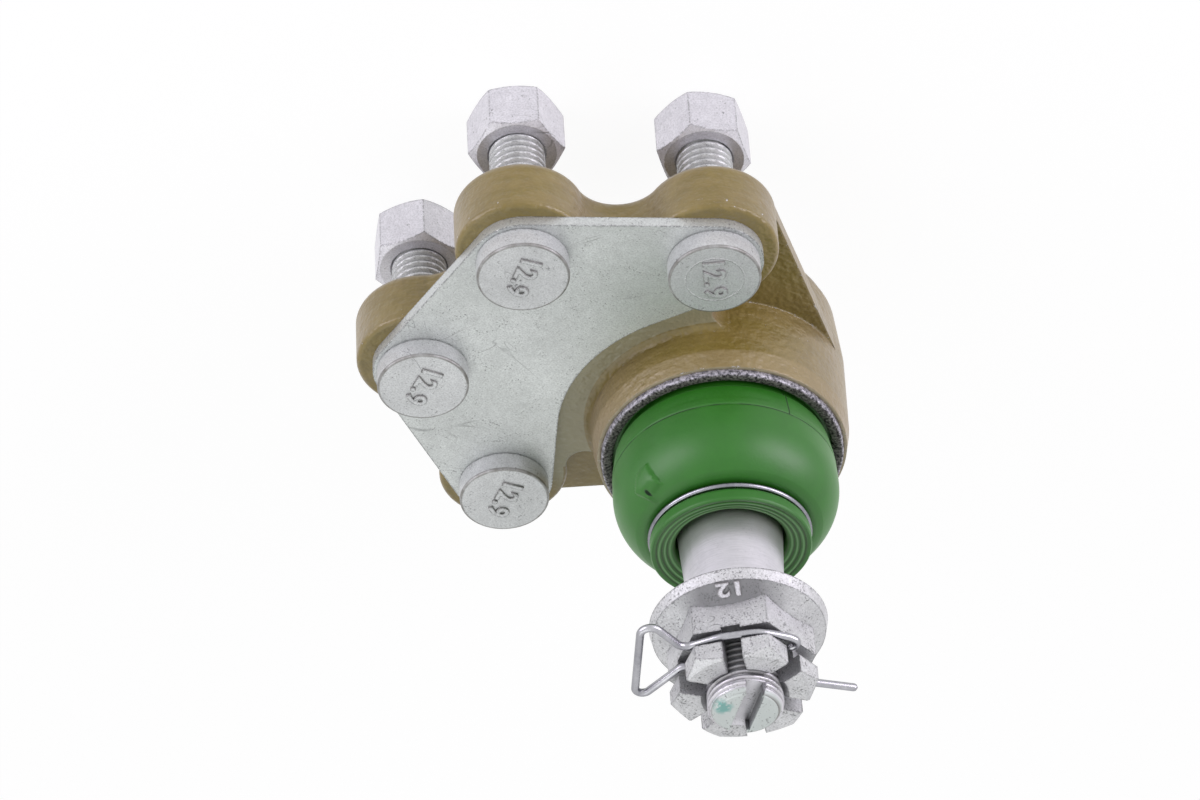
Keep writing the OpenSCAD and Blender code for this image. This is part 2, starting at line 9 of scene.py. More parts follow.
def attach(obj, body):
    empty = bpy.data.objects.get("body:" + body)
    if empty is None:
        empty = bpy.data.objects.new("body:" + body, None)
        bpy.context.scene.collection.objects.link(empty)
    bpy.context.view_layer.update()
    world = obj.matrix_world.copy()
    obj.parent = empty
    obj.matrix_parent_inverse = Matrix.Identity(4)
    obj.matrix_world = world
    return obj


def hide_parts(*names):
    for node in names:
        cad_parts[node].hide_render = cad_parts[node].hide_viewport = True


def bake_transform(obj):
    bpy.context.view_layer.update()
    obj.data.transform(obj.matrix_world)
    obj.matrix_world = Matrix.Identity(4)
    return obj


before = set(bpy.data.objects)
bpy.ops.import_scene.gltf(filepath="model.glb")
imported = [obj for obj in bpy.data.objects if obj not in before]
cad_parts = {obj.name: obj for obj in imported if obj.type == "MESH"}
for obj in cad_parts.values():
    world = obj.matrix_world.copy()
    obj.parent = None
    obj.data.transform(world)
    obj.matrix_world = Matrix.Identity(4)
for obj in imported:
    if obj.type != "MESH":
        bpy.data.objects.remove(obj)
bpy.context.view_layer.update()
MM = 0.001

# Sizes and places that the solids have too, in millimetres and degrees
BALL_Z = 6.0
LEAN = (-1.43, -1.38)
PLATE_TOP_Z = 16.2
HEAD_TOP_Z = 21.1
BOLT_END_Z = -28.8
BOLT_PITCH = 1.75
PIN_PITCH = 1.5
SLOT_FOOT_Z = BALL_Z + 85.9
SLOT_TURN = 110
CLIP_Z = BALL_Z + 78.45
CLIP_TURN = 19.6
RING_FOOT_Z = 21.62
BOOT_PIVOT_Z = 24.4
BOOT_LEAN = 45.1 / 26.7
BOOT_JOIN_Z = 34.5
BOOT_WALL = 2.3

# Middle of each bolt, turn of the mark on its head, and seed of the wear on its rim
BOLTS = {
    "bolt_far_1": ((64.0, -19.2), 104, 11),
    "bolt_near_1": ((29.7, -39.7), 129, 12),
    "bolt_far_2": ((64.0, 19.2), 99, 12),
    "bolt_near_2": ((29.7, 39.7), 102, 13),
}

# Marks of the boot: heights, and distance once round it from its vent, in millimetres
PARTING_Z = 31.8
VENT_Z = 45.0
SPLIT_Z = 28.6
SPLIT_AROUND = -33.6


# Surfaces


def add_object(name, data):
    """A new object of the scene that shows the data."""
    piece = bpy.data.objects.new(name, data)
    bpy.context.scene.collection.objects.link(piece)
    return piece


def keep_wear_and_shade(mesh, wear_and_shade):
    """Keeps for each point in the mesh its mark of worn and darkened places, painted shade and
    painted light, where the materials read it.
    """
    values = np.asarray(wear_and_shade, np.float32)
    mesh.attributes.new("wear_and_shade", "FLOAT", "POINT").data.foreach_set("value", values)


def mesh_piece(name, points, faces, material, crease=40.0):
    """A mesh object from points in millimetres and a list of faces, shaded smooth up to the crease
    angle."""
    mesh = bpy.data.meshes.new(name)
    mesh.from_pydata((np.asarray(points) * MM).tolist(), [], faces)
    mesh.materials.append(material)
    mesh.polygons.foreach_set("use_smooth", np.ones(len(mesh.polygons), bool))
    mesh.set_sharp_from_angle(angle=np.radians(crease))
    return add_object(name, mesh)


def grid_faces(rows, columns, loop):
    """Corner numbers of the quads of a rows by columns grid, whose last column joins the first,
    and whose last row joins the first where the outline is a loop."""
    i = np.arange(rows if loop else rows - 1)[:, None]
    j = np.arange(columns)[None, :]
    i2, j2 = (i + 1) % rows, (j + 1) % columns
    quads = [i * columns + j, i2 * columns + j, i2 * columns + j2, i * columns + j2]
    return np.stack(np.broadcast_arrays(*quads), -1).reshape(-1, 4)


def turns(columns):
    """Angles of that many even steps once round."""
    return np.linspace(0, 2 * np.pi, columns, endpoint=False)


def turned_piece(name, radius, height, material, centre=(0, 0), loop=False, place=None,
                 crease=40.0, wear_and_shade=None):
    """A turned shape: point (row s, column t) is radius(s, t) out from the axis at angle t and
    height(s, t) up, rows running along the outline and columns once round. An outline that isn't a
    loop is closed with a fan of triangles to one middle point at each end. A mark is kept for each
    point: 0 where clean, up to 1 on worn rims, in darker thread roots and in grooves painted with
    shade, and down to -1 on ridges painted pale as painted light."""
    radius, height = np.broadcast_arrays(radius, height)
    rows, columns = radius.shape
    turn = turns(columns)
    points = np.stack([radius * np.cos(turn), radius * np.sin(turn), height], -1).reshape(-1, 3)
    faces = grid_faces(rows, columns, loop)[:, ::-1].tolist()
    if not loop:
        low, high = np.full(columns, len(points)), np.full(columns, len(points) + 1)
        ends = np.array([[0, 0, height[0].mean()], [0, 0, height[-1].mean()]])
        points = np.concatenate([points, ends])
        first = np.arange(columns)
        second = (first + 1) % columns
        last = (rows - 1) * columns
        faces += np.stack([low, second, first], -1).tolist()
        faces += np.stack([high, last + first, last + second], -1).tolist()
    points[:, :2] += centre
    if place is not None:
        points = place(points)
    piece = mesh_piece(name, points, faces, material, crease)
    if wear_and_shade is not None:
        values = np.zeros(len(points))
        values[:rows * columns] = np.broadcast_to(wear_and_shade, radius.shape).ravel()
        keep_wear_and_shade(piece.data, values)
    return piece


def tube_piece(name, line, thickness, material, place, sides=20):
    """A wire: rings of that thickness square to a flat line, each drawn from the line's own side
    direction and the upright, the last rings closing to a rounded tip."""
    along = np.gradient(line, axis=0)
    along /= np.linalg.norm(along, axis=1)[:, None]
    upright = np.array([0.0, 0.0, 1.0])
    side = np.cross(along, upright)
    turn = turns(sides)[:, None]
    ring = side[:, None] * np.cos(turn) + upright * np.sin(turn)
    run = np.concatenate([[0], np.cumsum(np.linalg.norm(np.diff(line, axis=0), axis=1))])
    tip = np.clip(np.minimum(run, run[-1] - run) / (0.5 * thickness), 0, 1)
    width = 0.5 * thickness * np.sqrt(np.clip(1 - (1 - tip) ** 2, 0.02, 1))
    points = (line[:, None] + ring * width[:, None, None]).reshape(-1, 3)
    faces = grid_faces(len(line), sides, False).tolist()
    faces.append(list(range(sides)))
    faces.append(list(range(len(points) - 1, len(points) - sides - 1, -1)))
    return mesh_piece(name, place(points), faces, material)


def leaned(points, pivot=BALL_Z, share=1.0):
    """The points turned by the lean of the pin, about X and then about Y, round a point of the
    axis."""
    a, b = np.radians(LEAN[0] * share), np.radians(LEAN[1] * share)
    about_x = np.array([[1, 0, 0], [0, np.cos(a), -np.sin(a)], [0, np.sin(a), np.cos(a)]])
    about_y = np.array([[np.cos(b), 0, np.sin(b)], [0, 1, 0], [-np.sin(b), 0, np.cos(b)]])
    middle = np.array([0, 0, pivot])
    return (np.asarray(points) - middle) @ (about_y @ about_x).T + middle


def step(x, low, high):
    """0 below low, 1 above high, and a smooth rise between them."""
    t = np.clip((x - low) / (high - low), 0, 1)
    return t * t * (3 - 2 * t)


def bump(x, middle, width):
    """1 at the middle, falling to both sides as a bell of that width."""
    return np.exp(-(((x - middle) / width) ** 2))


def ripple(turn, waves, seed):
    """A sum of sines round the circle, about -1 to 1, its phases and shares drawn from the seed."""
    draw = np.random.default_rng(seed)
    phase = draw.uniform(0, 2 * np.pi, len(waves))
    share = draw.uniform(0.5, 1.0, len(waves))
    return (share * np.sin(np.outer(turn, waves) + phase)).sum(1) / share.sum()


def resample(outline, gap):
    """The outline's corners, with points added along each straight so that none is further apart
    than the gap."""
    counts = np.ceil(np.linalg.norm(np.diff(outline, axis=0), axis=1) / gap).astype(int)
    parts = [np.linspace(a, b, max(count, 1), endpoint=False)
             for a, b, count in zip(outline[:-1], outline[1:], counts)]
    return np.concatenate(parts + [outline[-1:]])


def thread_depth(z, pitch, turn):
    """How deep the groove of a thread is, 0 on the crest and 1 on the root: a trapezium wave of
    height over pitch less turn."""
    phase = (z / pitch - turn / (2 * np.pi)) % 1
    return np.clip((0.5 - np.abs(phase - 0.5)) * 2.7 - 0.35, 0, 1)


# Shader nodes


def fill(tree, socket, value):
    """Links the socket to another node's output, or sets it to a number, a place or a colour."""
    if isinstance(value, bpy.types.NodeSocket):
        tree.links.new(value, socket)
    elif value is not None:
        socket.default_value = (*value[:3], 1.0) if socket.type == "RGBA" else value


def feed(tree, node, **values):
    """Fills a node's inputs by name, with _ written for a space."""
    for name, value in values.items():
        fill(tree, node.inputs[name.replace("_", " ")], value)


def put(tree, kind, *inputs, out=0, settings=None, **named):
    """Adds a node, fills its inputs in order or by name, and returns one of its outputs, or the
    node itself where out is None."""
    node = tree.nodes.new("ShaderNode" + kind)
    for key, value in (settings or {}).items():
        setattr(node, key, value)
    for socket, value in zip(node.inputs, inputs):
        fill(tree, socket, value)
    feed(tree, node, **named)
    return node if out is None else node.outputs[out]


def calc(tree, operation, *inputs):
    """The result of a Math node."""
    return put(tree, "Math", *inputs, settings={"operation": operation})


def plus(tree, first, second):
    """The sum of two values."""
    return calc(tree, "ADD", first, second)


def less(tree, first, second):
    """The first value less the second."""
    return calc(tree, "SUBTRACT", first, second)


def times(tree, first, second):
    """The product of two values."""
    return calc(tree, "MULTIPLY", first, second)


def most(tree, first, *others):
    """The greatest of some values."""
    for other in others:
        first = calc(tree, "MAXIMUM", first, other)
    return first


def off(tree, value, middle):
    """How far a value is from the middle, to either side."""
    return calc(tree, "ABSOLUTE", less(tree, value, middle))


def vector_calc(tree, operation, *inputs, out=0):
    """The result of a Vector Math node: a vector, or a value from output 1."""
    return put(tree, "VectorMath", *inputs, out=out, settings={"operation": operation})


def away(tree, place, spot):
    """How far a place is from a spot."""
    return vector_calc(tree, "DISTANCE", place, spot, out=1)


def from_axis(tree, place):
    """How far a place is from the axis of the cup."""
    flat = vector_calc(tree, "MULTIPLY", place, (1.0, 1.0, 0.0))
    return vector_calc(tree, "LENGTH", flat, out=1)


def z_of(tree, vector):
    """The upright part of a vector."""
    return put(tree, "SeparateXYZ", vector, out=2)


def normal_of(tree):
    """The surface's own normal."""
    return put(tree, "NewGeometry", out=1)


def place_of(tree):
    """The place on the piece, in metres."""
    return put(tree, "TexCoord", out=3)


def kept(tree, name, out=2):
    """What the mesh keeps for each point under a name: a value, or a vector from output 1."""
    return put(tree, "Attribute", out=out, settings={"attribute_name": name})


def spread(tree, value, low, high, to_low=0.0, to_high=1.0):
    """The value's range from low to high spread over to_low to to_high, and held at the ends."""
    return put(tree, "MapRange", value, low, high, to_low, to_high)


def mixed(tree, share, first, second):
    """Two colours mixed, with the share that the second has."""
    node = put(tree, "Mix", out=None, settings={"data_type": "RGBA"})
    for number, value in ((0, share), (6, first), (7, second)):
        fill(tree, node.inputs[number], value)
    return node.outputs[2]


def noise(tree, scale, detail=2.0, rough=0.5, vector=None, out=0):
    """Noise at the place on the piece or at another vector: a value, or a vector from output 1."""
    vector = place_of(tree) if vector is None else vector
    return put(tree, "TexNoise", out=out, Vector=vector, Scale=scale, Detail=detail,
               Roughness=rough)


def rounded(tree, width, samples=6):
    """The normal as it would be with every edge rounded to that width."""
    return put(tree, "Bevel", width, settings={"samples": samples})


def bumped(tree, height, distance, strength=1.0, normal=None):
    """The given normal, or else the surface's own, tilted as the slope of a height tilts it."""
    return put(tree, "Bump", Strength=strength, Distance=distance, Height=height, Normal=normal)


def new_group(name, result, **inputs):
    """An empty node group with float inputs, given by name and usual value, and one float result:
    its tree, its inputs as they arrive, and the socket that its result goes into."""
    tree = bpy.data.node_groups.new(name, "ShaderNodeTree")
    for key, value in inputs.items():
        socket = tree.interface.new_socket(name=key, in_out="INPUT", socket_type="NodeSocketFloat")
        socket.default_value = value
    tree.interface.new_socket(name=result, in_out="OUTPUT", socket_type="NodeSocketFloat")
    given = tree.nodes.new("NodeGroupInput").outputs
    return tree, given, tree.nodes.new("NodeGroupOutput").inputs[0]


def use(tree, group, **values):
    """Places a group in a material with its own values, and returns its result."""
    return put(tree, "Group", settings={"node_tree": group}, **values)


def build_specks():
    """Small dark pits: fine noise above a limit, kept only in patches of a coarser noise."""
    tree, given, result = new_group("specks", "Mask", Scale=1500.0, Amount=0.5)
    fine = noise(tree, given["Scale"], 3.0, 0.6)
    patch = noise(tree, times(tree, given["Scale"], 0.12))
    limit = less(tree, 0.82, times(tree, given["Amount"], 0.2))
    raised = plus(tree, fine, times(tree, less(tree, patch, 0.5), 0.35))
    fill(tree, result, spread(tree, less(tree, raised, limit), 0.0, 0.05))
    return tree


def build_scratches():
    """Thin lines: a noise squeezed hard across one direction and bent by a coarse noise, cut to its
    narrow middle band, and broken into lengths by another noise."""
    tree, given, result = new_group("scratches", "Mask", Scale=120.0, Turn=0.0, Amount=0.5)
    bend = vector_calc(tree, "MULTIPLY", noise(tree, 25.0, out=1), (0.02, 0.02, 0.02))
    bent = vector_calc(tree, "ADD", bend, place_of(tree))
    angle = put(tree, "CombineXYZ", 0.0, 0.0, given["Turn"])
    turned = put(tree, "VectorRotate", bent, settings={"rotation_type": "EULER_XYZ"},
                 Rotation=angle)
    squeezed = vector_calc(tree, "MULTIPLY", turned, (1.0, 0.06, 1.0))
    line = noise(tree, given["Scale"], 1.0, vector=squeezed)
    thin = spread(tree, off(tree, line, 0.5), 0.0015, 0.006, 1.0, 0.0)
    limit = less(tree, 0.68, times(tree, given["Amount"], 0.25))
    fill(tree, result, times(tree, thin, spread(tree, noise(tree, 70.0), limit, 0.7)))
    return tree


def build_edges():
    """How near a sharp edge lies: the rounded normal departs from the plain one there."""
    tree, given, result = new_group("edges", "Mask", Width=0.0004)
    along = vector_calc(tree, "DOT_PRODUCT", rounded(tree, given["Width"]), normal_of(tree), out=1)
    fill(tree, result, spread(tree, along, 0.995, 0.9))
    return tree


def build_mottle():
    """Soft clouds of lighter and darker finish at two sizes, about 0 to 1."""
    tree, given, result = new_group("mottle", "Value", Scale=60.0)
    coarse = noise(tree, given["Scale"], 4.0, 0.6)
    fine = noise(tree, times(tree, given["Scale"], 9.0), 3.0, 0.65)
    both = plus(tree, times(tree, coarse, 0.6), times(tree, fine, 0.4))
    fill(tree, result, spread(tree, both, 0.32, 0.68))
    return tree


def build_crevice():
    """How deep a point lies in a slot or a corner, 1 where least of the sky is open to it: the mask
    that materials paint shade with.
    """
    tree, given, result = new_group("crevice", "Mask", Reach=0.004)
    sky = put(tree, "AmbientOcclusion", out=1, settings={"samples": 8}, Distance=given["Reach"])
    fill(tree, result, spread(tree, sky, 0.75, 0.2))
    return tree


specks, scratches, edges = build_specks(), build_scratches(), build_edges()
mottle, crevice = build_mottle(), build_crevice()


# Finishes


def new_material(name):
    """A material with one Principled shader, its tree and the shader."""
    material = bpy.data.materials.new(name)
    material.use_nodes = True
    tree = material.node_tree
    return material, tree, tree.nodes["Principled BSDF"]


def darker(colour, share):
    """That share of a colour."""
    return tuple(share * part for part in colour)


def plated(name, pale, grain, pits, lines, rough, metal, turn=0.7, dent=0.00006, corner_shade=0.15,
           dull_and_shade=None):
    """Zinc plating: pale metal with soft clouds, fine grain, dark pits, thin scratches two ways,
    darker edges, painted shade in the corners, darker worn rims and thread roots, painted shade on
    the sides of raised strokes, and painted grey shade on the upward slopes round one spot where
    that is given."""
    material, tree, shader = new_material(name)
    cloud = use(tree, mottle, Scale=55.0)
    spots = use(tree, specks, Scale=grain, Amount=pits)
    cuts = use(tree, scratches, Scale=150.0, Turn=turn, Amount=lines)
    cross = use(tree, scratches, Scale=230.0, Turn=turn + 1.3, Amount=lines * 0.8)
    broken = spread(tree, noise(tree, 1900.0, 4.0, 0.65), 0.42, 0.54)
    rim = times(tree, use(tree, edges, Width=0.0007), broken)
    deep = use(tree, crevice, Reach=0.004)
    grainy = noise(tree, 2600.0, 4.0, 0.7)
    base = mixed(tree, cloud, darker(pale, 0.76), pale)
    base = mixed(tree, spread(tree, grainy, 0.34, 0.6, 0.5, 0.0), base, darker(pale, 0.42))
    # Painted shade: corners and slots darkened by how little sky is open to them.
    base = mixed(tree, times(tree, deep, corner_shade), base, (0.10, 0.10, 0.11))
    # Kept marks: worn rims and thread roots darkened, and painted shade on the sides of raised
    # strokes.
    base = mixed(tree, times(tree, kept(tree, "wear_and_shade"), 0.85), base, (0.15, 0.14, 0.12))
    # Painted shade: a grey shade on the upward slopes round the given spot.
    if dull_and_shade:
        near = spread(tree, away(tree, place_of(tree), dull_and_shade), 0.014, 0.006, 0.0, 0.9)
        film_and_shade = times(tree, near, spread(tree, z_of(tree, normal_of(tree)), 0.5, 0.7))
        base = mixed(tree, film_and_shade, base, (0.22, 0.22, 0.23))
    marks = most(tree, times(tree, cuts, 0.75), times(tree, cross, 0.55),
                 times(tree, spots, 0.75), times(tree, rim, 0.9))
    height = plus(tree, grainy, times(tree, noise(tree, 300.0), 1.2))
    height = less(tree, height, times(tree, marks, 1.6))
    feed(tree, shader, Base_Color=mixed(tree, marks, base, (0.16, 0.165, 0.165)), Metallic=metal,
         Roughness=spread(tree, cloud, 0.0, 1.0, rough + 0.08, rough - 0.05),
         Normal=bumped(tree, height, dent, 0.6, rounded(tree, 0.0002)))
    return material


def khaki_coat():
    """Baked coat on the forging: streaky olive brown with a painted pale sheen and orange peel,
    greyer on the face that the plate lies on, lighter in a band below the mouth of the cup, and
    with pale chips and dark nicks on edges and on the front."""
    material, tree, shader = new_material("khaki_coat")
    place = place_of(tree)
    height_z = z_of(tree, place)
    streak_place = vector_calc(tree, "MULTIPLY", place, (0.5, 0.5, 2.0))
    flow = noise(tree, 200.0, 5.0, 0.6, vector=streak_place)
    streak = spread(tree, flow, 0.42, 0.62)
    cloud = use(tree, mottle, Scale=38.0)
    grain = spread(tree, noise(tree, 2400.0, 3.0, 0.7), 0.36, 0.64)
    colour = mixed(tree, cloud, (0.185, 0.134, 0.028), (0.268, 0.204, 0.044))
    colour = mixed(tree, times(tree, streak, 0.2), colour, (0.44, 0.33, 0.15))
    colour = mixed(tree, times(tree, grain, 0.2), colour, (0.15, 0.11, 0.02))
    seat = times(tree, spread(tree, from_axis(tree, place), 0.042, 0.038),
                 spread(tree, height_z, 0.0131, 0.0135))
    level = spread(tree, z_of(tree, normal_of(tree)), 0.97, 0.995, 0.0, 0.75)
    colour = mixed(tree, times(tree, seat, level), colour, (0.42, 0.41, 0.28))
    band = times(tree, spread(tree, height_z, 0.0201, 0.0205), 0.45)
    colour = mixed(tree, band, colour, (0.37, 0.29, 0.15))
    # Painted sheen: the colour turns pale pink where the surface is seen at a glance.
    sheen = spread(tree, put(tree, "LayerWeight", 0.35, out=1), 0.22, 0.6, 0.0, 0.22)
    colour = mixed(tree, sheen, colour, (0.50, 0.44, 0.43))
    rim = use(tree, edges, Width=0.0009)
    chip = times(tree, rim, spread(tree, noise(tree, 750.0, 4.0, 0.65), 0.6, 0.63))
    front = times(tree, spread(tree, height_z, 0.0108, 0.0116),
                  spread(tree, height_z, 0.0134, 0.013))
    front = times(tree, front, spread(tree, noise(tree, 620.0, 3.0, 0.6), 0.67, 0.69))
    chip = most(tree, chip, front)
    nick = use(tree, specks, Scale=420.0, Amount=0.15)
    colour = mixed(tree, chip, colour, (0.72, 0.72, 0.68))
    colour = mixed(tree, times(tree, nick, 0.7), colour, (0.10, 0.075, 0.035))
    peel = plus(tree, noise(tree, 700.0, 1.0), times(tree, flow, 1.2))
    peel = less(tree, peel, times(tree, most(tree, chip, nick), 1.2))
    feed(tree, shader, Base_Color=colour, Roughness=spread(tree, cloud, 0.0, 1.0, 0.3, 0.4),
         Specular_IOR_Level=0.8, Normal=bumped(tree, peel, 0.00045, 0.7, rounded(tree, 0.0007, 8)))
    return material


def green_rubber():
    """Satin rubber: green with faint cloudy bloom, a painted pale sheen, specks of dust and a fine
    skin, painted shade in the grooves and painted light on the ridges of the lip, and dark lines at
    the vent's hole, the parting line and the split below it."""
    material, tree, shader = new_material("green_rubber")
    bloom = use(tree, mottle, Scale=30.0)
    dust = use(tree, specks, Scale=900.0, Amount=0.05)
    colour = mixed(tree, bloom, (0.016, 0.142, 0.005), (0.023, 0.18, 0.008))
    # Painted sheen: the colour turns pale where the surface is seen at a glance.
    sheen = spread(tree, put(tree, "LayerWeight", 0.35, out=1), 0.35, 1.0, 0.0, 0.45)
    colour = mixed(tree, sheen, colour, (0.22, 0.40, 0.19))
    colour = mixed(tree, times(tree, dust, 0.35), colour, (0.25, 0.36, 0.22))
    # Painted shade in the lip's grooves, and painted light making its ridges pale.
    wear_and_shade = kept(tree, "wear_and_shade")
    colour = mixed(tree, spread(tree, wear_and_shade, 0.0, 1.0, 0.0, 0.7), colour, (0.035, 0.05, 0.022))
    colour = mixed(tree, spread(tree, wear_and_shade, 0.0, -1.0, 0.0, 0.85), colour, (0.21, 0.46, 0.18))
    unrolled = kept(tree, "unrolled", out=1)
    around, up = put(tree, "SeparateXYZ", unrolled, out=None).outputs[:2]
    hole = spread(tree, away(tree, unrolled, (0.0, VENT_Z, 0.0)), 0.55, 0.4)
    seam = spread(tree, off(tree, up, PARTING_Z), 0.16, 0.06)
    seam = times(tree, seam, spread(tree, noise(tree, 160.0, 3.0), 0.36, 0.5, 0.15, 0.85))
    split = spread(tree, off(tree, around, SPLIT_AROUND), 0.2, 0.08)
    split = times(tree, split, spread(tree, off(tree, up, SPLIT_Z), 3.4, 3.2))
    lines = most(tree, hole, seam, split)
    colour = mixed(tree, lines, colour, (0.004, 0.022, 0.004))
    rough = most(tree, spread(tree, bloom, 0.0, 1.0, 0.42, 0.5), times(tree, lines, 0.95))
    skin = plus(tree, noise(tree, 1600.0), noise(tree, 180.0))
    feed(tree, shader, Base_Color=colour, Roughness=rough, Specular_IOR_Level=0.62,
         Normal=bumped(tree, skin, 0.00004, 0.5))
    return material


def rolled_zinc():
    """Rough rolled ring: pale crests over black pits, much coarser than the other plating."""
    material, tree, shader = new_material("rolled_zinc")
    lumps = noise(tree, 1500.0, 4.0, 0.65)
    outward = plus(tree, from_axis(tree, place_of(tree)), times(tree, lumps, 0.0012))
    crest = spread(tree, outward, 0.0262, 0.0267)
    pits = spread(tree, lumps, 0.38, 0.6)
    deep = mixed(tree, pits, (0.012, 0.012, 0.012), (0.24, 0.23, 0.22))
    high = mixed(tree, pits, (0.12, 0.12, 0.14), (0.52, 0.51, 0.56))
    feed(tree, shader, Base_Color=mixed(tree, crest, deep, high), Metallic=0.6,
         Roughness=spread(tree, crest, 0.0, 1.0, 0.8, 0.5), Normal=bumped(tree, lumps, 0.0003, 0.8))
    return material


def ground_steel():
    """Satin ground pin: fine rings round the axis, faint grey clouds, a brown layer where the
    rubber wiped it, and towards its end painted shade in the slots, dark pits, darker thread roots,
    a greener tip and a spot of old oil."""
    material, tree, shader = new_material("ground_steel")
    place = place_of(tree)
    height_z = z_of(tree, place)
    grind = noise(tree, 5200.0, vector=vector_calc(tree, "MULTIPLY", place, (0.06, 0.06, 1.0)))
    cloud = use(tree, mottle, Scale=45.0)
    colour = mixed(tree, cloud, (0.62, 0.61, 0.65), (0.76, 0.745, 0.79))
    ground = times(tree, spread(tree, grind, 0.35, 0.65), 0.25)
    colour = mixed(tree, ground, colour, (0.42, 0.42, 0.44))
    film_and_shade = times(tree, spread(tree, height_z, 0.057, 0.049),
                 spread(tree, cloud, 0.2, 0.9, 0.35, 0.8))
    colour = mixed(tree, times(tree, film_and_shade, 0.6), colour, (0.36, 0.30, 0.24))
    # Painted shade in the slots towards the end of the pin.
    deep = times(tree, use(tree, crevice, Reach=0.009),
                 spread(tree, height_z, 0.075, 0.08, 0.0, 0.95))
    colour = mixed(tree, deep, colour, (0.12, 0.125, 0.125))
    tip = times(tree, spread(tree, height_z, 0.0938, 0.0943), 0.7)
    colour = mixed(tree, tip, colour, (0.50, 0.56, 0.53))
    oil = times(tree, spread(tree, away(tree, place, (0.0033, 0.0030, 0.0948)), 0.0026, 0.0012),
                spread(tree, noise(tree, 700.0, 3.0), 0.36, 0.5))
    colour = mixed(tree, times(tree, oil, 0.8), colour, (0.12, 0.36, 0.33))
    spots = times(tree, use(tree, specks, Scale=2000.0, Amount=1.0),
                  spread(tree, height_z, 0.079, 0.086, 0.12, 0.8))
    colour = mixed(tree, spots, colour, (0.14, 0.14, 0.14))
    colour = mixed(tree, times(tree, kept(tree, "wear_and_shade"), 0.8), colour, (0.13, 0.115, 0.11))
    feed(tree, shader, Base_Color=colour, Metallic=0.85,
         Roughness=spread(tree, cloud, 0.0, 1.0, 0.42, 0.34),
         Normal=bumped(tree, grind, 0.00003, 0.6, rounded(tree, 0.0003)))
    return material


def drawn_wire(name, low, high):
    """Drawn wire: bright along its middle, with painted shade darkening it towards its sides where
    they turn away, and a few matt patches.
    """
    material, tree, shader = new_material(name)
    dull_and_shade = use(tree, mottle, Scale=120.0)
    # Painted shade: the colour darkens where the wire is seen at a glance.
    painted_side_shade = spread(tree, put(tree, "LayerWeight", 0.3, out=1), 0.12, 0.8, 0.0, 0.8)
    colour = mixed(tree, painted_side_shade, mixed(tree, dull_and_shade, low, high), (0.12, 0.12, 0.14))
    feed(tree, shader, Base_Color=colour, Metallic=1.0,
         Roughness=spread(tree, dull_and_shade, 0.0, 1.0, 0.34, 0.22),
         Normal=bumped(tree, noise(tree, 3000.0), 0.00002, 0.4))
    return material


def clouded(name, scale, low, high, metal, rough, grain):
    """An inner part, seen from no side of the whole: two tones in clouds over a fine skin."""
    material, tree, shader = new_material(name)
    colour = mixed(tree, use(tree, mottle, Scale=scale), low, high)
    feed(tree, shader, Base_Color=colour, Metallic=metal, Roughness=rough,
         Normal=bumped(tree, noise(tree, grain), 0.00002, 0.5))
    return material


khaki, rubber, ring_zinc, pin_steel = khaki_coat(), green_rubber(), rolled_zinc(), ground_steel()
plate_zinc = plated("plate_zinc", (0.74, 0.77, 0.755), grain=2100.0, pits=0.9, lines=0.6,
                    rough=0.45, metal=0.74)
bolt_zinc = plated("bolt_zinc", (0.77, 0.79, 0.79), grain=2300.0, pits=0.85, lines=0.4,
                   rough=0.4, metal=0.58, turn=2.1)
nut_zinc = plated("nut_zinc", (0.90, 0.89, 0.94), grain=2300.0, pits=0.75, lines=0.25,
                  rough=0.38, metal=0.62, turn=1.2)
# The castle nut gets strong painted shade in its corners, and painted shade on the upward slopes
# round one spot of its flange.
castle_zinc = plated("castle_zinc", (0.74, 0.745, 0.76), grain=2100.0, pits=1.15, lines=0.1,
                     rough=0.44, metal=0.85, turn=0.3, dent=0.0001, corner_shade=0.7,
                     dull_and_shade=(0.0097, -0.0101, 0.0756))
clip_wire = drawn_wire("clip_wire", (0.32, 0.32, 0.35), (0.54, 0.54, 0.57))
neck_wire = drawn_wire("neck_wire", (0.20, 0.20, 0.23), (0.40, 0.40, 0.44))
seat_plastic = clouded("moulded_seat", 40.0, (0.66, 0.63, 0.54), (0.76, 0.73, 0.64),
                       metal=0.0, rough=0.45, grain=1200.0)
spring_steel = clouded("blued_spring", 60.0, (0.05, 0.055, 0.075), (0.13, 0.13, 0.15),
                       metal=0.9, rough=0.35, grain=1500.0)

FINISHES = {
    "housing": khaki,
    "reinforcing_plate": plate_zinc,
    "closing_cover": plate_zinc,
    "castle_nut": castle_zinc,
    "ball_stud": pin_steel,
    "neck_wire_ring": neck_wire,
    "locking_clip": clip_wire,
    "boot_retaining_ring": ring_zinc,
    "dust_boot": rubber,
    "front_ball_seat": seat_plastic,
    "rear_ball_seat": seat_plastic,
    "disc_spring": spring_steel,
}
for node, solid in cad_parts.items():
    finish = FINISHES.get(node) or (nut_zinc if node.startswith("nut_") else bolt_zinc)
    solid.data.materials.clear()
    solid.data.materials.append(finish)


# Bolts with cut threads, and raised marks


